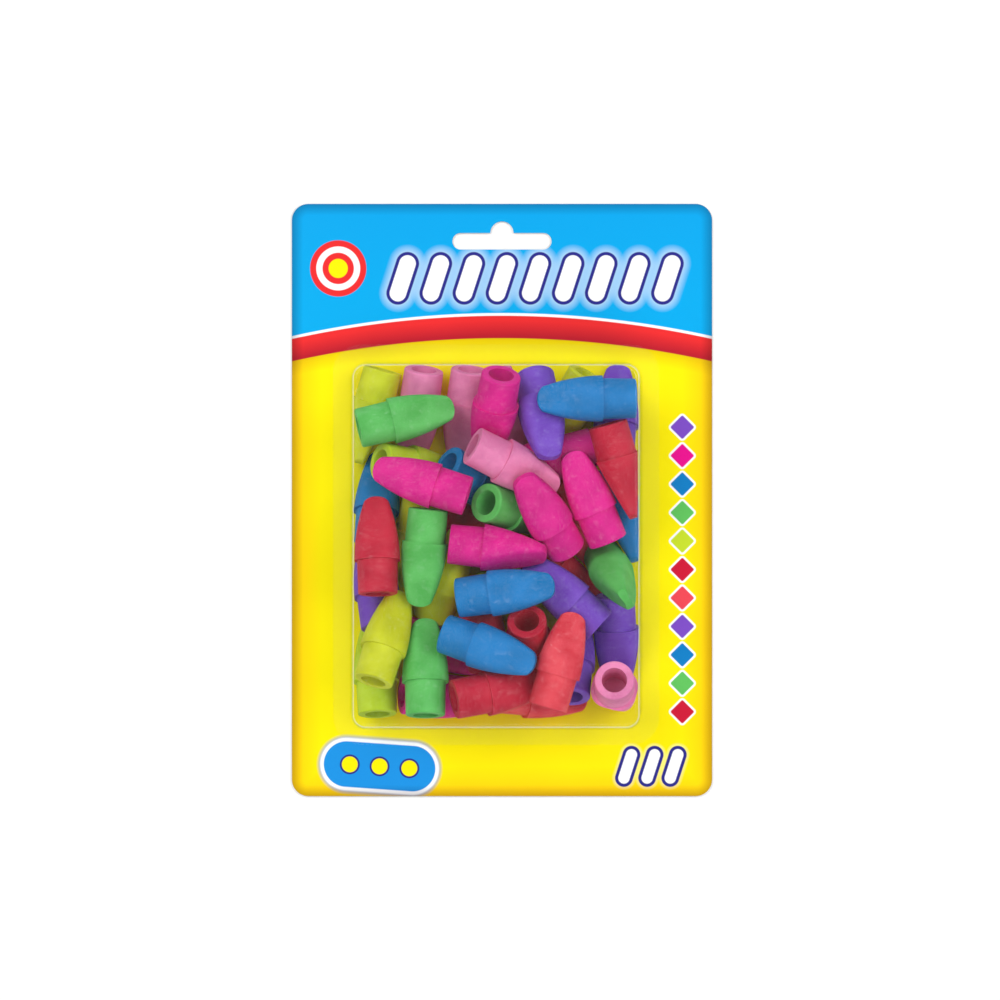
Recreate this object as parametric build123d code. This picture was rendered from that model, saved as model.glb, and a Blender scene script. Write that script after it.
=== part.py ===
from build123d import *
import os
from collections import Counter
from math import cos, pi, radians, sin, tan

import numpy as np

# A carded clear blister full of loose wedge-shaped pencil cap erasers.
# The pack lies on its back: X runs across the card, Y up the card to the hang hole,
# Z out of the card's front. The origin is the middle of the card's back face. All sizes in mm.

# Card: a five by seven inch hang card with a euro slot.
CARD_WIDTH = 127.0
CARD_HEIGHT = 179.0
CARD_THICKNESS = 0.6
CARD_CORNER = 5.0
SLOT_LENGTH = 30.0
SLOT_WIDTH = 5.0
SLOT_BUMP_RADIUS = 3.5
SLOT_DROP = 11.3

# Blister: a thin clear tray, open at the back, with a flange that a thin coat seals to the card.
BLISTER_WIDTH = 88.5
BLISTER_HEIGHT = 111.0
BLISTER_X = -1.75
BLISTER_Y = -13.5
BLISTER_WALL = 0.4
BLISTER_CORNER = 6.0
BLISTER_DRAFT = 3.0
FLANGE_WIDTH = 5.0
SEAL_COAT = 0.05
WINDOW_EDGE = 2.0

# Cap: a round collar that goes over the pencil's ferrule, then a wedge with a broad flat tip.
FERRULE_DIAMETER = 7.3
SOCKET_STRETCH = 0.2
SOCKET_DEPTH = 12.5
COLLAR_WALL = 2.1
COLLAR_TAPER = 0.2
COLLAR_LENGTH = 10.0
HEAD_LENGTH = 19.2
SHOULDER_STEP = 0.75
SHOULDER_ROUND = 0.85
MID_BROAD_SHARE = 0.74
MID_THIN_SHARE = 0.52
TIP_BROAD = 6.2
TIP_THIN = 2.2
TIP_ROUND = 0.6
TIP_ARC = 5.0
EDGE_ROUND = 0.5

# Clearances of the heap, with more at the lower wall, which swings inward as the blister opens,
# and the share of the blister's inside that the caps fill.
CONTACT_GAP = 0.35
FLOOR_GAP = 0.2
WALL_GAP = 0.7
SWING_GAP = 2.7
HEADROOM = 2.2
FILL_SHARE = 0.435

# Pouring: rounds of settling, height between one cap and the next at the start, fall in one round,
# and the shares of a cap's drift and turn that are taken back in one round.
ROUNDS = 1200
POUR_STEP = 4.0
FALL = 0.4
HOLD_SPOT = 0.02
HOLD_TURN = 0.02
HOLD_STEEP = 0.6
NEAR = 4.0

# Every cap in the order it is poured: colour, middle of the cap across and up from the blister's
# middle, heading of the tip, roll about its own axis, and the tilt of the tip where the other caps
# hold it at one slope (None: it lies as it falls).
CAPS = [
    ("purple", -40.5, -15.5, 85, 0, None),
    ("blue", -40.0, 13.5, 93, 0, None),
    ("yellow_green", -38.5, -40.0, 90, 0, None),
    ("yellow", -39.5, 41.0, -92, 90, None),
    ("pink", -10.0, 42.0, -110, 0, None),
    ("pink", -20.5, 34.5, -32, 0, None),
    ("pink", 8.5, 40.0, 115, 90, None),
    ("purple", 40.0, 47.5, 90, 0, None),
    ("yellow", 28.0, 41.5, -131, 0, 0),
    ("green", 37.0, -2.0, -60, 90, 80),
    ("pink", 38.5, -37.5, -110, 0, -75),
    ("yellow_green", -21.5, 22.5, 8, 0, None),
    ("yellow", -30.0, 4.5, -88, 0, None),
    ("red", -11.0, 5.5, 170, 0, None),
    ("orange", 15.5, 4.5, -50, 0, None),
    ("yellow", -17.5, -2.0, 102, 0, None),
    ("magenta", -5.0, -47.5, 8, 0, None),
    ("magenta", -12.5, -24.5, -70, 0, None),
    ("red", 28.5, -7.0, 35, 0, None),
    ("blue", 39.5, 3.0, -80, 90, None),
    ("yellow_green", 12.0, -18.5, 176, 0, None),
    ("purple", 24.5, -33.5, 90, 0, None),
    ("purple", 39.5, -22.0, -89, 0, 0),
    ("orange", 11.5, -45.5, -14, 0, None),
    ("green", 5.5, 9.0, 0, 0, -50),
    ("magenta", 18.0, 27.0, 175, 0, None),
    ("purple", 18.0, 46.5, -98, 0, 35),
    ("red", 39.5, 15.5, -81, 90, None),
    ("red", -39.0, -6.5, 93, 0, 0),
    ("yellow", -32.5, -19.0, 66, 0, -24),
    ("red", 17.0, -29.5, -80, 0, -40),
    ("magenta", -0.5, 37.5, -105, 0, -30),
    ("pink", 10.5, 21.0, -46, 0, -33),
    ("purple", 16.5, -5.5, 143, 0, 0),
    ("magenta", 20.0, 12.0, 120, 0, None),
    ("blue", -6.0, 25.0, -44, 0, -22),
    ("magenta", 27.0, 17.0, 119, 0, 0),
    ("green", -32.0, 30.5, 18, 0, 0),
    ("magenta", -20.5, 16.0, 167, 0, 0),
    ("blue", 30.5, 35.0, 179, 0, 0),
    ("magenta", -2.0, -2.5, 0, 40, 0),
    ("red", -17.5, -24.0, 110, 0, 0),
    ("green", -24.5, -3.0, -104, 0, 0),
    ("blue", 3.5, -12.0, 6, 0, 0),
    ("orange", 25.5, -31.0, 78, 0, 0),
    ("red", -6.5, -40.5, 33, 0, 0),
    ("green", -26.5, -39.0, 92, 0, 0),
    ("blue", 4.5, -29.0, -18, 0, 0),
]

socket_radius = (FERRULE_DIAMETER + SOCKET_STRETCH) / 2
mouth_radius = socket_radius + COLLAR_WALL
collar_radius = mouth_radius + COLLAR_TAPER
cap_length = COLLAR_LENGTH + HEAD_LENGTH
shoulder_broad = 2 * (collar_radius + SHOULDER_STEP)
shoulder_thin = 2 * collar_radius + SHOULDER_STEP
mid_broad = TIP_BROAD + MID_BROAD_SHARE * (shoulder_broad - TIP_BROAD)
mid_thin = TIP_THIN + MID_THIN_SHARE * (shoulder_thin - TIP_THIN)
mid_round = (SHOULDER_ROUND + TIP_ROUND) / 2


def head_section(along, broad, thin, roundness):
    """A rounded rectangle across the cap's axis; roundness is a share of its half thickness."""
    plane = Plane(origin=(along, 0, 0), x_dir=(0, 1, 0), z_dir=(1, 0, 0))
    return plane * RectangleRounded(broad, thin, roundness * thin / 2)


def make_cap_skin():
    """The cap's outside as one solid, mouth at X = 0 and tip along +X."""
    from_mouth = (Align.CENTER, Align.CENTER, Align.MIN)
    collar = Plane.YZ * Cone(mouth_radius, collar_radius, COLLAR_LENGTH, align=from_mouth)
    collar = fillet(collar.edges().group_by(Axis.X)[0], EDGE_ROUND)
    head = loft(
        [
            head_section(COLLAR_LENGTH, shoulder_broad, shoulder_thin, SHOULDER_ROUND),
            head_section(COLLAR_LENGTH + HEAD_LENGTH / 2, mid_broad, mid_thin, mid_round),
            head_section(cap_length, TIP_BROAD, TIP_THIN, TIP_ROUND),
        ]
    )
    head = fillet(head.faces().sort_by(Axis.X)[-1].edges(), EDGE_ROUND)
    return collar + head


def make_cap(skin):
    """The skin with its tip rounded to an arc, and the blind socket that takes the pencil's end."""
    from_mouth = (Align.CENTER, Align.CENTER, Align.MIN)
    socket = Plane.YZ * Cylinder(socket_radius, SOCKET_DEPTH, align=from_mouth)
    arc_middle = Pos(cap_length - TIP_ARC)
    from_middle = (Align.MIN, Align.CENTER, Align.CENTER)
    tip_block = arc_middle * Box(2 * TIP_ARC, shoulder_broad, shoulder_thin, align=from_middle)
    tip_corners = tip_block - arc_middle * Cylinder(TIP_ARC, shoulder_thin)
    return skin - tip_corners - socket


def make_card():
    """The hang card, with its euro slot near the top edge."""
    outline = RectangleRounded(CARD_WIDTH, CARD_HEIGHT, CARD_CORNER)
    slot_y = CARD_HEIGHT / 2 - SLOT_DROP
    slot = Pos(0, slot_y) * SlotOverall(SLOT_LENGTH, SLOT_WIDTH)
    slot += Pos(0, slot_y + SLOT_WIDTH / 2) * Circle(SLOT_BUMP_RADIUS)
    return extrude(outline - slot, CARD_THICKNESS)


def tray(inset, height, edge):
    """A drafted block with rounded corners, drawn in from the blister's outside by the inset."""
    outline = RectangleRounded(
        BLISTER_WIDTH - 2 * inset, BLISTER_HEIGHT - 2 * inset, BLISTER_CORNER - inset
    )
    block = extrude(outline, height, taper=BLISTER_DRAFT)
    return fillet(block.faces().sort_by(Axis.Z)[-1].edges(), edge)


def make_blister(inner_depth):
    """The clear tray that stands on the coat over the card's front face."""
    outer = tray(0, inner_depth + BLISTER_WALL, WINDOW_EDGE)
    inner = tray(BLISTER_WALL, inner_depth, WINDOW_EDGE - BLISTER_WALL)
    flange_outline = RectangleRounded(
        BLISTER_WIDTH + 2 * FLANGE_WIDTH,
        BLISTER_HEIGHT + 2 * FLANGE_WIDTH,
        BLISTER_CORNER + FLANGE_WIDTH / 2,
    )
    shell = outer + extrude(flange_outline, BLISTER_WALL) - inner
    return Pos(BLISTER_X, BLISTER_Y, CARD_THICKNESS + SEAL_COAT) * shell


def half_sizes(along):
    """Half breadth, half thickness and corner radius of the cap at distances from its mouth."""
    share = np.clip((along - COLLAR_LENGTH) / HEAD_LENGTH, 0, 1)
    first = (1 - share) * (1 - 2 * share)
    middle = 4 * share * (1 - share)
    last = share * (2 * share - 1)
    broad = (first * shoulder_broad + middle * mid_broad + last * TIP_BROAD) / 2
    thin = (first * shoulder_thin + middle * mid_thin + last * TIP_THIN) / 2
    corner = thin * (SHOULDER_ROUND + (TIP_ROUND - SHOULDER_ROUND) * share)
    in_collar = along < COLLAR_LENGTH
    radius = mouth_radius + COLLAR_TAPER * np.clip(along / COLLAR_LENGTH, 0, 1)
    return tuple(np.where(in_collar, radius, size) for size in (broad, thin, corner))


# The cap's half sizes at evenly spaced distances from its mouth, for quick reading.
size_steps = 600
size_table = half_sizes(np.linspace(0, cap_length, size_steps))


def cap_distance(spots):
    """How far each spot, given about a cap's middle, lies outside that cap (negative inside)."""
    along = spots[..., 0] / cap_length + 0.5
    step = np.clip((along * (size_steps - 1)).astype(int), 0, size_steps - 1)
    broad, thin, corner = (table[step] for table in size_table)
    over_broad = np.abs(spots[..., 1]) - broad + corner
    over_thin = np.abs(spots[..., 2]) - thin + corner
    aside = np.hypot(np.maximum(over_broad, 0), np.maximum(over_thin, 0))
    aside += np.minimum(np.maximum(over_broad, over_thin), 0) - corner
    beyond = np.abs(spots[..., 0]) - cap_length / 2
    outside = np.hypot(np.maximum(aside, 0), np.maximum(beyond, 0))
    return np.where((aside < 0) & (beyond < 0), np.maximum(aside, beyond), outside)


def skin_spots():
    """Spots spread over the cap's skin, about its middle."""
    collar_rings = np.linspace(0, COLLAR_LENGTH * 0.99, 6)
    head_rings = np.linspace(COLLAR_LENGTH, cap_length, 11)
    spots = []
    for along in np.concatenate([[EDGE_ROUND], collar_rings, head_rings, [cap_length - EDGE_ROUND]]):
        broad, thin, corner = (float(size) for size in half_sizes(along))
        inset = EDGE_ROUND if along in (0, cap_length) else 0
        around = [(broad - inset, 0), (inset - broad, 0), (0, thin - inset), (0, inset - thin)]
        for angle in (np.arange(12) + 0.5) * pi / 6:
            flat_y = np.sign(cos(angle)) * (broad - corner)
            flat_z = np.sign(sin(angle)) * (thin - corner)
            reach = corner - inset
            around.append((flat_y + reach * cos(angle), flat_z + reach * sin(angle)))
        spots += [(along - cap_length / 2, y, z) for y, z in around]
    return np.array(spots)


def turn_matrix(heading, roll, tilt):
    """Roll about the cap's axis, then raise the tip by the tilt, then turn to the heading."""
    h, t, r = radians(heading), radians(tilt), radians(roll)
    turn = np.array([[cos(h), -sin(h), 0], [sin(h), cos(h), 0], [0, 0, 1]])
    raise_tip = np.array([[cos(t), 0, -sin(t)], [0, 1, 0], [sin(t), 0, cos(t)]])
    spin = np.array([[1, 0, 0], [0, cos(r), -sin(r)], [0, sin(r), cos(r)]])
    return turn @ raise_tip @ spin


def turned_by(vector, matrix):
    """The matrix turned about the vector by the vector's length."""
    angle = np.linalg.norm(vector) + 1e-12
    x, y, z = vector / angle
    cross = np.array([[0, -z, y], [z, 0, -x], [-y, x, 0]])
    return (np.eye(3) + sin(angle) * cross + (1 - cos(angle)) * cross @ cross) @ matrix


class Heap:
    """The caps as they are poured into the blister and pressed under its window."""

    def __init__(self, depth):
        self.depth = depth
        self.skin = skin_spots()
        self.gyration = cap_length**2 / 12 + collar_radius**2 / 4
        starts = enumerate(CAPS)
        self.place = np.array([[cap[1], cap[2], depth / 4 + POUR_STEP * i] for i, cap in starts])
        self.turn = np.array([turn_matrix(cap[3], cap[4], cap[5] or 0) for cap in CAPS])
        self.home = self.place.copy()
        self.home_turn = self.turn.copy()
        self.hold_turn = np.array([HOLD_TURN if cap[5] is None else HOLD_STEEP for cap in CAPS])

    def push(self, who, spots, normals, depths):
        """Move the caps named so that each spot goes along its normal by its depth."""
        lever = np.cross(spots - self.place[who], normals)
        np.add.at(self.shift, who, normals * depths[:, None])
        np.add.at(self.spin, who, lever * depths[:, None] / self.gyration)

    def ease(self, who, spots, normals):
        """How freely a push at each spot moves its cap: one for a push through the middle."""
        lever = np.cross(spots - self.place[who], normals)
        return 1 + (lever**2).sum(axis=1) / self.gyration

    def keep_inside(self, lid):
        """Push the caps off the card, the four leaning walls and the lid."""
        everyone = np.arange(len(CAPS))
        rooms = [((0, 0, 1), self.world[..., 2] - FLOOR_GAP), ((0, 0, -1), lid - self.world[..., 2])]
        lean = np.clip(self.world[..., 2], 0, self.depth) * tan(radians(BLISTER_DRAFT))
        for axis, size in enumerate((BLISTER_WIDTH, BLISTER_HEIGHT)):
            for side in (1, -1):
                gap = SWING_GAP if (axis, side) == (1, -1) else WALL_GAP
                half_room = size / 2 - BLISTER_WALL - gap - lean
                inward = tuple(-side if axis == each else 0 for each in range(3))
                rooms.append((inward, half_room - side * self.world[..., axis]))
        for inward, room in rooms:
            worst = room.argmin(axis=1)
            spots = self.world[everyone, worst]
            normals = np.tile(np.array(inward, dtype=float), (len(CAPS), 1))
            depths = np.maximum(-room[everyone, worst], 0)
            self.push(everyone, spots, normals, depths / self.ease(everyone, spots, normals))

    def in_frame(self, whose, spots):
        """Spots of each pair in the frame of the pair's second cap."""
        return np.einsum("pji,pnj->pni", self.turn[whose], spots - self.place[whose][:, None])

    def find_neighbours(self):
        """Pairs of caps that may touch within the next few rounds."""
        apart = np.linalg.norm(self.place[:, None] - self.place[None], axis=2)
        first, second = np.nonzero((apart < cap_length + NEAR) & (apart > 0))
        close = cap_distance(self.in_frame(second, self.world[first][:, ::2])).min(axis=1) < NEAR
        self.pairs = first[close], second[close]

    def keep_apart(self):
        """Push touching caps off each other at the deepest spot of each pair."""
        first, second = self.pairs
        local = self.in_frame(second, self.world[first])
        gaps = cap_distance(local)
        worst = gaps.argmin(axis=1)
        depths = CONTACT_GAP - gaps[np.arange(len(first)), worst]
        hit = np.nonzero(depths > 0)[0]
        first, second, worst, depths = first[hit], second[hit], worst[hit], depths[hit]
        spots = local[hit, worst]
        nudges = np.eye(3) * 0.05
        slopes = [cap_distance(spots + nudge) - cap_distance(spots - nudge) for nudge in nudges]
        slopes = np.stack(slopes, axis=1)
        slopes /= np.linalg.norm(slopes, axis=1)[:, None] + 1e-9
        normals = np.einsum("pij,pj->pi", self.turn[second], slopes)
        touch = self.world[first, worst]
        ease = self.ease(first, touch, normals) + self.ease(second, touch, normals)
        self.push(first, touch, normals, 0.6 * depths / ease)
        self.push(second, touch, -normals, 0.6 * depths / ease)

    def settle(self):
        """Pour, press and then only part the caps, until every cap has its place."""
        for number in range(ROUNDS):
            share = number / ROUNDS
            pull = 1.0 if share < 0.5 else 0.25 if share < 0.65 else 0.1 if share < 0.8 else 0.0
            lid = np.inf if share < 0.4 else self.depth + max(0, 0.6 - share) * self.depth * 1.25
            self.place[:, 2] -= FALL * pull
            self.place[:, :2] += (self.home - self.place)[:, :2] * HOLD_SPOT * pull
            self.world = np.einsum("bij,nj->bni", self.turn, self.skin) + self.place[:, None]
            self.shift = np.zeros_like(self.place)
            self.spin = np.zeros_like(self.place)
            for axis in range(3):
                astray = np.cross(self.turn[:, :, axis], self.home_turn[:, :, axis])
                self.spin += astray * (self.hold_turn * pull / 2)[:, None]
            self.keep_inside(lid)
            if number % 6 == 0:
                self.find_neighbours()
            self.keep_apart()
            self.place += self.shift
            for number_of_cap, vector in enumerate(self.spin):
                self.turn[number_of_cap] = turned_by(vector, self.turn[number_of_cap])

    def locations(self):
        """Where each cap goes, as its colour and the location of its mouth."""
        for cap, spot, turn in zip(CAPS, self.place, self.turn):
            origin = spot + np.array([BLISTER_X, BLISTER_Y, CARD_THICKNESS])
            origin = origin - turn[:, 0] * cap_length / 2
            plane = Plane(origin=tuple(origin), x_dir=tuple(turn[:, 0]), z_dir=tuple(turn[:, 2]))
            yield cap[0], plane.location


def heap_depth(skin):
    """Height of the heap: the caps' bulk over the blister's middle section and the fill."""
    lean = BLISTER_WALL + COLLAR_LENGTH * 1.5 * tan(radians(BLISTER_DRAFT))
    section = (BLISTER_WIDTH - 2 * lean) * (BLISTER_HEIGHT - 2 * lean)
    return len(CAPS) * skin.volume / (FILL_SHARE * section)


cap_skin = make_cap_skin()
cap = make_cap(cap_skin)
heap = Heap(heap_depth(cap_skin))
heap.settle()
pieces = {"card": make_card(), "blister": make_blister(heap.depth + HEADROOM)}
made = Counter()
for colour, location in heap.locations():
    made[colour] += 1
    pieces[f"cap_{colour}_{made[colour]}"] = location * cap

os.makedirs("parts", exist_ok=True)
for piece_name, piece in pieces.items():
    export_step(piece, f"parts/{piece_name}.step")
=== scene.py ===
import math

import bmesh
import bpy
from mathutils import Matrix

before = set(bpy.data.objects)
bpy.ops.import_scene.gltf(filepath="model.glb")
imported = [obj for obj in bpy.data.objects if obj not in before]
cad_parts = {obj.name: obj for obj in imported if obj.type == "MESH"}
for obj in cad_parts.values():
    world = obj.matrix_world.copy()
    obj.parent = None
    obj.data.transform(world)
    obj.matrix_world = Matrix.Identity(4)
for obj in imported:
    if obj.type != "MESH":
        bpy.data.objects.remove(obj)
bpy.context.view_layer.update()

# The pack lies on its back on a white floor and the camera looks straight down at the printed front.
# Studio and clear sheet, in metres. A lamp has its place and its power in watts.
CAMERA_HEIGHT = 1.134
CAMERA_LENS = 135.0
CAMERA_X = -0.0006
LAMP_SIZE = 0.7
LAMPS = {
    "key_lamp": ((-0.55, 0.45, 1.05), 6.6),
    "fill_lamp": ((0.65, 0.28, 1.0), 5.2),
    "low_lamp": ((0.08, -0.72, 0.95), 3.3),
}
SKY_LIGHT = 0.4
FLOOR_HALF = 6.0
FLOOR_DROP = 0.0003
FLOOR_FADE_START = 0.3
FLOOR_FADE_END = 0.9
SEALED_TOP = 0.0011
TINT_RISE = 0.001
FLANGE_TINT = 0.5

# The print, in mm about the card's middle.
MM_PER_METRE = 1000.0
CARD_HALF_WIDTH = 63.5
CARD_HALF_HEIGHT = 89.5
CARD_CORNER = 5.0
PRINT_FACE = 0.55
HEADER_EDGE = 54.5
HEADER_ARCH = 7.0
RIBBON_WIDTH = 5.6
SKY_EDGE = -2.0
BAR_SLANT = -18.0
BAR_OUTLINE = 1.0
RING_STEP = 0.22
DIAMOND_HALF = 2.6
DIAMOND_CORNER = 0.5
DIAMOND_COLUMN = (
    ("purple", "magenta", "blue", "green", "yellow_green", "red")
    + ("orange", "purple", "blue", "green", "red")
)
LOZENGE_HALF_WIDTH = 18.0
LOZENGE_HALF_HEIGHT = 8.0
DOT_RADIUS = 2.4
DOT_STEP = 9.0
DOT_FALL = 0.6


def ink(red, green, blue):
    """A colour given as it looks on screen, 0 to 255, as the scene's own values."""
    levels = []
    for level in (red, green, blue):
        share = level / 255
        levels.append(share / 12.92 if share <= 0.04045 else ((share + 0.055) / 1.055) ** 2.4)
    return (*levels, 1.0)


CAP_COLOURS = {
    "green": ink(98, 194, 94),
    "blue": ink(14, 126, 194),
    "magenta": ink(233, 12, 142),
    "pink": ink(246, 138, 184),
    "red": ink(205, 25, 55),
    "orange": ink(237, 73, 85),
    "purple": ink(126, 78, 196),
    "yellow": ink(219, 221, 28),
    "yellow_green": ink(200, 222, 46),
}
YELLOW = ink(255, 238, 0)
ORANGE = ink(255, 202, 8)
SKY = ink(0, 170, 234)
DEEP_SKY = ink(8, 152, 226)
RED = ink(236, 46, 48)
DARK_RED = ink(186, 28, 44)
RIBBON_SHADOW = ink(194, 142, 0)
NAVY = ink(43, 43, 133)
LOZENGE_BLUE = ink(28, 146, 226)
LOZENGE_RIM = ink(165, 172, 189)
# EDGE_SHADE is painted shade laid along the card's cut edge.
EDGE_SHADE = ink(196, 192, 196)
BOARD = ink(222, 216, 204)
BOARD_FIBRE = ink(196, 188, 174)
WHITE = ink(255, 255, 255)
FLOOR_WHITE = (0.96, 0.96, 0.96, 1.0)
SHEET_FACE = ink(250, 252, 253)
SHEET_EDGE = ink(234, 241, 246)


def node(tree, kind, settings=None, **inputs):
    """A shader node whose inputs, given by name or as i and a number, are linked or set."""
    made = tree.nodes.new(kind)
    for name, value in (settings or {}).items():
        setattr(made, name, value)
    for name, value in inputs.items():
        label = int(name[1:]) if name[1:].isdigit() else name.replace("_", " ")
        socket = made.inputs[label]
        if isinstance(value, bpy.types.NodeSocket):
            tree.links.new(value, socket)
        else:
            socket.default_value = value
    return made


def maths(tree, operation, first, second=0.0):
    """One sum on two values."""
    return node(tree, "ShaderNodeMath", {"operation": operation}, i0=first, i1=second).outputs[0]


def span(tree, value, low, high, low_out=0.0, high_out=1.0):
    """The value carried from one range to another and held there."""
    made = node(tree, "ShaderNodeMapRange", i0=value, i1=low, i2=high, i3=low_out, i4=high_out)
    return made.outputs[0]


def blend(tree, share, first, second, mode="MIX"):
    """Two colours mixed by a share."""
    settings = {"data_type": "RGBA", "blend_type": mode}
    return node(tree, "ShaderNodeMix", settings, i0=share, i6=first, i7=second).outputs[2]


def mix_shaders(tree, share, first, second):
    """Two shaders mixed by a share."""
    return node(tree, "ShaderNodeMixShader", i0=share, i1=first.outputs[0], i2=second.outputs[0])


def speckle(tree, place, scale, detail):
    """Fine noise at a scale per metre."""
    return node(tree, "ShaderNodeTexNoise", Vector=place, Scale=scale, Detail=detail).outputs[0]


def object_place(tree):
    """Where a point lies on its own piece, in metres."""
    return node(tree, "ShaderNodeTexCoord").outputs["Object"]


def new_group(name, inputs, outputs):
    """An empty node group with named inputs and outputs."""
    group = bpy.data.node_groups.new(name, "ShaderNodeTree")
    for label, kind in inputs:
        group.interface.new_socket(label, in_out="INPUT", socket_type=kind)
    for label, kind in outputs:
        group.interface.new_socket(label, in_out="OUTPUT", socket_type=kind)
    return group, group.nodes.new("NodeGroupInput"), group.nodes.new("NodeGroupOutput")


def make_plate_group():
    """Distance in mm from a turned rectangle with round corners, negative inside it."""
    number = "NodeSocketFloat"
    labels = ("X", "Y", "Half Width", "Half Height", "Corner", "Turn")
    group, given, result = new_group(
        "plate_distance",
        [("Place", "NodeSocketVector")] + [(label, number) for label in labels],
        [("Distance", number)],
    )
    middle = node(group, "ShaderNodeCombineXYZ", X=given.outputs["X"], Y=given.outputs["Y"])
    offset = node(
        group,
        "ShaderNodeVectorMath",
        {"operation": "SUBTRACT"},
        i0=given.outputs["Place"],
        i1=middle.outputs[0],
    )
    turned = node(
        group,
        "ShaderNodeVectorRotate",
        {"rotation_type": "Z_AXIS"},
        Vector=offset.outputs[0],
        Angle=given.outputs["Turn"],
    )
    parts = node(group, "ShaderNodeSeparateXYZ", Vector=turned.outputs[0])
    beyond = []
    for axis, label in (("X", "Half Width"), ("Y", "Half Height")):
        inner = maths(group, "SUBTRACT", given.outputs[label], given.outputs["Corner"])
        beyond.append(maths(group, "SUBTRACT", maths(group, "ABSOLUTE", parts.outputs[axis]), inner))
    outside = [maths(group, "MAXIMUM", value, 0.0) for value in beyond]
    squares = [maths(group, "MULTIPLY", value, value) for value in outside]
    reach = maths(group, "SQRT", maths(group, "ADD", *squares))
    inside = maths(group, "MINIMUM", maths(group, "MAXIMUM", *beyond), 0.0)
    distance = maths(group, "SUBTRACT", maths(group, "ADD", reach, inside), given.outputs["Corner"])
    group.links.new(distance, result.inputs["Distance"])
    return group


def make_rubber_group():
    """Colour, roughness and bump of moulded rubber with a dusty bloom and small scuffs."""
    group, given, result = new_group(
        "moulded_rubber",
        [("Colour", "NodeSocketColor")],
        [("Colour", "NodeSocketColor"), ("Roughness", "NodeSocketFloat"), ("Normal", "NodeSocketVector")],
    )
    pure = given.outputs["Colour"]
    place = object_place(group)
    cloud = span(group, speckle(group, place, 150.0, 4.0), 0.36, 0.64)
    grit = span(group, speckle(group, place, 2400.0, 2.0), 0.56, 0.76)
    scuff = span(group, speckle(group, place, 520.0, 6.0), 0.57, 0.72)
    fleck = span(group, speckle(group, place, 1500.0, 1.0), 0.74, 0.8)

    darker = node(group, "ShaderNodeHueSaturation", Value=0.8, Saturation=1.05, Color=pure).outputs[0]
    paler = blend(group, 0.34, pure, WHITE)
    colour = blend(group, cloud, darker, pure)
    for mask, strength in ((scuff, 0.16), (grit, 0.3), (fleck, 0.5)):
        colour = blend(group, maths(group, "MULTIPLY", mask, strength), colour, paler)
    group.links.new(colour, result.inputs["Colour"])
    group.links.new(span(group, cloud, 0.0, 1.0, 0.62, 0.5), result.inputs["Roughness"])

    height = maths(group, "ADD", maths(group, "MULTIPLY", grit, 0.3), speckle(group, place, 700.0, 4.0))
    bump = node(group, "ShaderNodeBump", Strength=0.35, Distance=0.0003, Height=height)
    group.links.new(bump.outputs[0], result.inputs["Normal"])
    return group


def new_material(name):
    """A material with an empty tree and its output node."""
    material = bpy.data.materials.new(name)
    material.use_nodes = True
    material.node_tree.nodes.clear()
    return material, material.node_tree, material.node_tree.nodes.new("ShaderNodeOutputMaterial")


def make_rubber(colour_name, group):
    """Rubber of one colour."""
    material, tree, output = new_material(f"rubber_{colour_name}")
    look = node(tree, "ShaderNodeGroup", {"node_tree": group}, Colour=CAP_COLOURS[colour_name])
    surface = node(
        tree,
        "ShaderNodeBsdfPrincipled",
        Base_Color=look.outputs["Colour"],
        Roughness=look.outputs["Roughness"],
        Normal=look.outputs["Normal"],
        Specular_IOR_Level=0.25,
    )
    tree.links.new(surface.outputs[0], output.inputs[0])
    return material


def make_clear():
    """Thin clear sheet: see-through face on, with a tint and a gloss that grow towards its edges."""
    material, tree, output = new_material("clear_sheet")
    place = object_place(tree)
    height = node(tree, "ShaderNodeSeparateXYZ", Vector=place).outputs["Z"]
    in_view = maths(tree, "SUBTRACT", 1.0, node(tree, "ShaderNodeLightPath").outputs["Is Shadow Ray"])

    # The flange lies tight on the card and shows only part of the tint.
    facing = node(tree, "ShaderNodeLayerWeight", Blend=0.5).outputs["Facing"]
    tint = blend(tree, maths(tree, "MULTIPLY", facing, facing), SHEET_FACE, SHEET_EDGE)
    off_the_card = span(tree, height, SEALED_TOP, SEALED_TOP + TINT_RISE, FLANGE_TINT, 1.0)
    tint_share = maths(tree, "MULTIPLY", off_the_card, in_view)
    clear = node(tree, "ShaderNodeBsdfTransparent", Color=blend(tree, tint_share, WHITE, tint))

    haze = span(tree, speckle(tree, place, 60.0, 3.0), 0.35, 0.75, 0.03, 0.09)
    gloss = node(tree, "ShaderNodeBsdfGlossy", Color=WHITE, Roughness=haze)
    edge = node(tree, "ShaderNodeLayerWeight", Blend=0.2).outputs["Fresnel"]
    gloss_share = maths(tree, "MULTIPLY", span(tree, edge, 0.0, 1.0, 0.003, 0.4), in_view)
    surface = mix_shaders(tree, gloss_share, clear, gloss)
    tree.links.new(surface.outputs[0], output.inputs[0])
    return material


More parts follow.
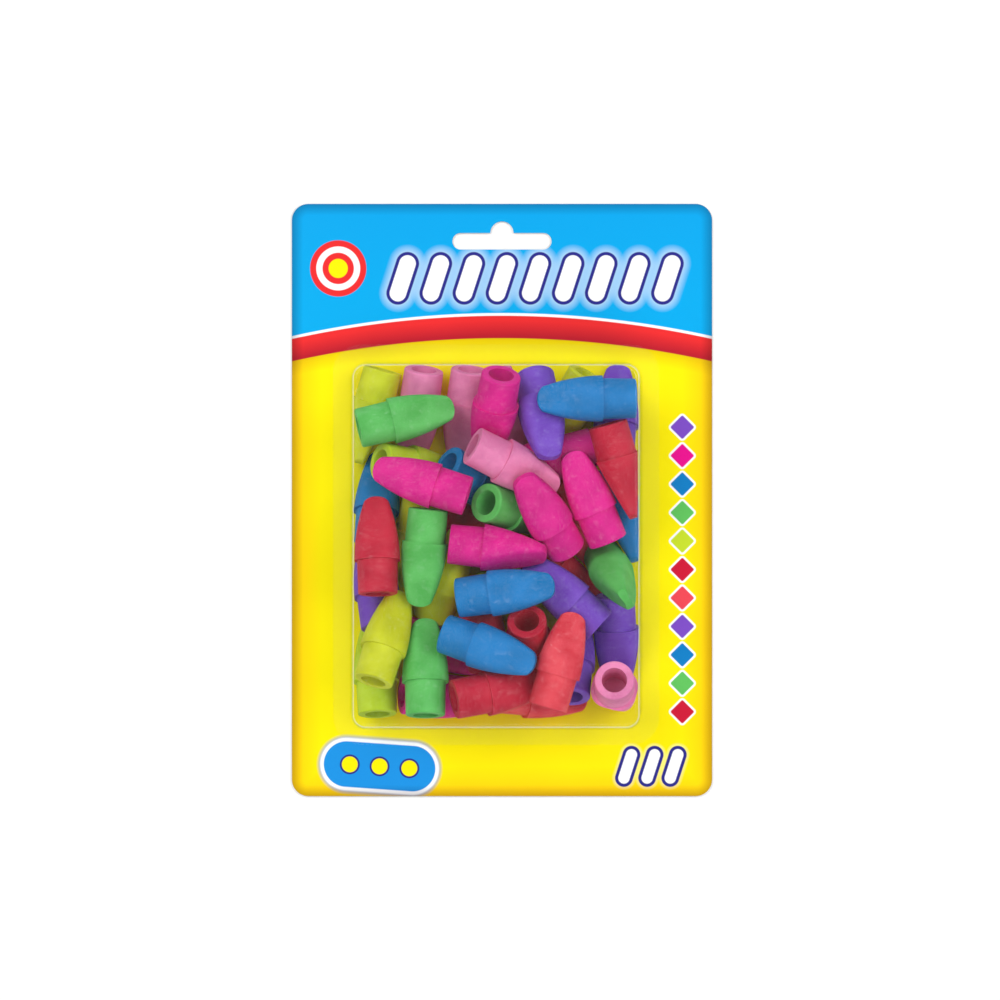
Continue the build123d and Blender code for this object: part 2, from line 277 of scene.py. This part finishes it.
class Print:
    """The card's printed front, laid down ink over ink."""

    def __init__(self, tree, plate_group, place):
        self.tree = tree
        self.plate_group = plate_group
        in_mm = node(tree, "ShaderNodeVectorMath", {"operation": "SCALE"}, Vector=place, Scale=MM_PER_METRE)
        self.place = in_mm.outputs[0]
        parts = node(tree, "ShaderNodeSeparateXYZ", Vector=self.place)
        self.x, self.y, self.z = parts.outputs
        self.edge = self.plate(0.0, 0.0, CARD_HALF_WIDTH, CARD_HALF_HEIGHT, CARD_CORNER)
        self.colour = YELLOW

    def plate(self, x, y, half_width, half_height, corner, turn=0.0):
        """Distance from a rounded rectangle, turned by some degrees."""
        made = node(
            self.tree,
            "ShaderNodeGroup",
            {"node_tree": self.plate_group},
            Place=self.place,
            X=x,
            Y=y,
            Half_Width=half_width,
            Half_Height=half_height,
            Corner=corner,
            Turn=math.radians(-turn),
        )
        return made.outputs["Distance"]

    def disc(self, x, y, radius):
        """Distance from a round spot."""
        return self.plate(x, y, radius, radius, radius)

    def lay(self, distance, colour, grow=0.0, soft=0.12, strength=1.0):
        """Ink wherever the distance is under the growth, with a soft border."""
        share = span(self.tree, distance, grow + soft, grow - soft, 0.0, strength)
        self.colour = blend(self.tree, share, self.colour, colour)

    def lay_ground(self):
        """Yellow that turns orange towards the card's edges."""
        near_edge = span(self.tree, self.edge, -9.0, 0.0, 0.0, 0.95)
        self.colour = blend(self.tree, near_edge, self.colour, ORANGE)

    def lay_header(self):
        """A sky blue top with an arched lower edge and a red ribbon under it."""
        across = maths(self.tree, "DIVIDE", self.x, CARD_HALF_WIDTH)
        arch = maths(self.tree, "MULTIPLY", maths(self.tree, "MULTIPLY", across, across), HEADER_ARCH)
        below = maths(self.tree, "SUBTRACT", maths(self.tree, "SUBTRACT", HEADER_EDGE, arch), self.y)
        self.lay(below, RIBBON_SHADOW, grow=RIBBON_WIDTH + 1.0, soft=3.6, strength=0.7)
        self.lay(below, DARK_RED, grow=RIBBON_WIDTH)
        self.lay(below, RED, grow=RIBBON_WIDTH - 3.0, soft=2.4)
        self.lay(below, WHITE, grow=SKY_EDGE + 0.8)
        self.lay(below, SKY, grow=SKY_EDGE)
        towards_top = span(self.tree, self.y, 60.0, CARD_HALF_HEIGHT + 0.5, 0.0, 0.35)
        sky_only = span(self.tree, below, SKY_EDGE + 0.1, SKY_EDGE - 0.1)
        shade = maths(self.tree, "MULTIPLY", towards_top, sky_only)
        self.colour = blend(self.tree, shade, self.colour, DEEP_SKY)

    def lay_bars(self, x, y, count, step, half_width, half_height, glow):
        """A row of slanted white bars with a navy outline and a pale glow."""
        bars = []
        for number in range(count):
            bars.append(self.plate(x + step * number, y, half_width, half_height, half_width, BAR_SLANT))
        for bar in bars:
            self.lay(bar, WHITE, grow=glow / 2, soft=glow / 2, strength=0.55)
        for bar in bars:
            self.lay(bar, NAVY, grow=BAR_OUTLINE)
        for bar in bars:
            self.lay(bar, WHITE)

    def lay_rings(self, x, y, radius, colours):
        """A disc of rings, each a step smaller than the one before."""
        disc = self.disc(x, y, radius)
        for number, colour in enumerate(colours):
            self.lay(disc, colour, grow=-radius * RING_STEP * number)

    def lay_diamonds(self, x, top, step, colours):
        """A column of small turned squares."""
        for number, colour in enumerate(colours):
            y = top - step * number
            square = self.plate(x, y, DIAMOND_HALF, DIAMOND_HALF, DIAMOND_CORNER, 45.0)
            self.lay(square, WHITE, grow=0.6)
            self.lay(square, colour)

    def lay_lozenge(self, x, y):
        """A blue lozenge with a pale rim and three yellow dots."""
        lozenge = self.plate(x, y, LOZENGE_HALF_WIDTH, LOZENGE_HALF_HEIGHT, LOZENGE_HALF_HEIGHT, -4.0)
        self.lay(lozenge, LOZENGE_RIM, grow=0.6, soft=0.6)
        self.lay(lozenge, WHITE, soft=0.3)
        self.lay(lozenge, LOZENGE_BLUE, grow=-1.1)
        for number in (-1, 0, 1):
            dot = self.disc(x + DOT_STEP * number, y - DOT_FALL * number, DOT_RADIUS)
            self.lay(dot, NAVY, grow=0.6)
            self.lay(dot, YELLOW)

    def lay_edge_shade(self):
        """Painted shade: a darker band along the cut edge, as if the coated face turned down there."""
        near_edge = span(self.tree, self.edge, -3.4, 0.0)
        self.colour = blend(self.tree, near_edge, self.colour, EDGE_SHADE, "MULTIPLY")


def make_card_material(plate_group):
    """Coated board: print on the front face, bare grey board on the back and the cut edges."""
    material, tree, output = new_material("printed_card")
    place = object_place(tree)
    front = Print(tree, plate_group, place)
    front.lay_ground()
    front.lay_header()
    front.lay_bars(x=-30.0, y=67.0, count=9, step=10.0, half_width=2.5, half_height=7.2, glow=3.4)
    front.lay_rings(x=-49.5, y=70.0, radius=8.5, colours=(RED, WHITE, RED, YELLOW))
    front.lay_diamonds(x=54.5, top=22.0, step=8.6, colours=[CAP_COLOURS[name] for name in DIAMOND_COLUMN])
    front.lay_lozenge(x=-37.0, y=-80.5)
    front.lay_bars(x=38.0, y=-80.5, count=3, step=7.0, half_width=1.7, half_height=5.4, glow=2.0)
    front.lay_edge_shade()

    fibre = speckle(tree, place, 900.0, 5.0)
    board = blend(tree, span(tree, fibre, 0.35, 0.7), BOARD, BOARD_FIBRE)
    on_front = span(tree, front.z, PRINT_FACE - 0.02, PRINT_FACE + 0.02)
    coating = span(tree, on_front, 0.0, 1.0, 0.75, 0.26)
    bump = node(tree, "ShaderNodeBump", Strength=0.12, Distance=0.00008, Height=fibre)
    surface = node(
        tree,
        "ShaderNodeBsdfPrincipled",
        Base_Color=blend(tree, on_front, board, front.colour),
        Roughness=maths(tree, "ADD", coating, maths(tree, "MULTIPLY", fibre, 0.12)),
        Normal=bump.outputs[0],
        Specular_IOR_Level=0.1,
    )
    tree.links.new(surface.outputs[0], output.inputs[0])
    return material


def dress(piece, material):
    """Give a CAD node its material."""
    piece.data.materials.clear()
    piece.data.materials.append(material)


def seen_ray(tree):
    """1 for what the camera, a gloss or clear plastic shows, 0 for the light that falls on the pack."""
    path = node(tree, "ShaderNodeLightPath").outputs
    shown = maths(tree, "MAXIMUM", path["Is Camera Ray"], path["Is Glossy Ray"])
    return maths(tree, "MAXIMUM", shown, path["Is Transmission Ray"])


def make_floor():
    """A plain white floor under the pack that runs out into the white backdrop."""
    sheet = bmesh.new()
    bmesh.ops.create_grid(sheet, x_segments=1, y_segments=1, size=FLOOR_HALF)
    bmesh.ops.translate(sheet, verts=sheet.verts, vec=(0.0, 0.0, -FLOOR_DROP))
    mesh = bpy.data.meshes.new("floor")
    sheet.to_mesh(mesh)
    sheet.free()
    floor = bpy.data.objects.new("floor", mesh)
    bpy.context.collection.objects.link(floor)

    material, tree, output = new_material("floor_white")
    reach = node(tree, "ShaderNodeVectorMath", {"operation": "LENGTH"}, Vector=object_place(tree))
    far_off = span(tree, reach.outputs["Value"], FLOOR_FADE_START, FLOOR_FADE_END)
    paint = node(tree, "ShaderNodeBsdfDiffuse", Color=FLOOR_WHITE)
    backdrop = node(tree, "ShaderNodeEmission", Color=WHITE)
    surface = mix_shaders(tree, maths(tree, "MULTIPLY", far_off, seen_ray(tree)), paint, backdrop)
    tree.links.new(surface.outputs[0], output.inputs[0])
    mesh.materials.append(material)


def make_lamp(name, place, power):
    """A square soft lamp that faces the pack."""
    data = bpy.data.lights.new(name, "AREA")
    data.shape = "SQUARE"
    data.size = LAMP_SIZE
    data.energy = power
    lamp = bpy.data.objects.new(name, data)
    bpy.context.collection.objects.link(lamp)
    lamp.location = place
    lamp.rotation_mode = "QUATERNION"
    lamp.rotation_quaternion = lamp.location.to_track_quat("Z", "Y")


def make_camera():
    """The camera straight over the card."""
    data = bpy.data.cameras.new("camera")
    data.lens = CAMERA_LENS
    data.clip_start = 0.05
    data.clip_end = 20.0
    camera = bpy.data.objects.new("camera", data)
    bpy.context.collection.objects.link(camera)
    camera.location = (CAMERA_X, 0.0, CAMERA_HEIGHT)
    bpy.context.scene.camera = camera


def make_sky():
    """An even sky that lights the pack softly and shows white."""
    world = bpy.data.worlds.new("sky")
    world.use_nodes = True
    tree = world.node_tree
    background = tree.nodes["Background"]
    background.inputs["Color"].default_value = WHITE
    strength = span(tree, seen_ray(tree), 0.0, 1.0, SKY_LIGHT, 1.0)
    tree.links.new(strength, background.inputs["Strength"])
    bpy.context.scene.world = world


rubber_group = make_rubber_group()
rubbers = {name: make_rubber(name, rubber_group) for name in CAP_COLOURS}
card_material = make_card_material(make_plate_group())
clear_material = make_clear()
for name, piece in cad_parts.items():
    if name == "card":
        dress(piece, card_material)
    elif name == "blister":
        dress(piece, clear_material)
    else:
        colour_name = name.removeprefix("cap_").rpartition("_")[0]
        dress(piece, rubbers[colour_name])

make_floor()
make_camera()
for name, (place, power) in LAMPS.items():
    make_lamp(name, place, power)
make_sky()
bpy.context.scene.view_settings.view_transform = "Standard"
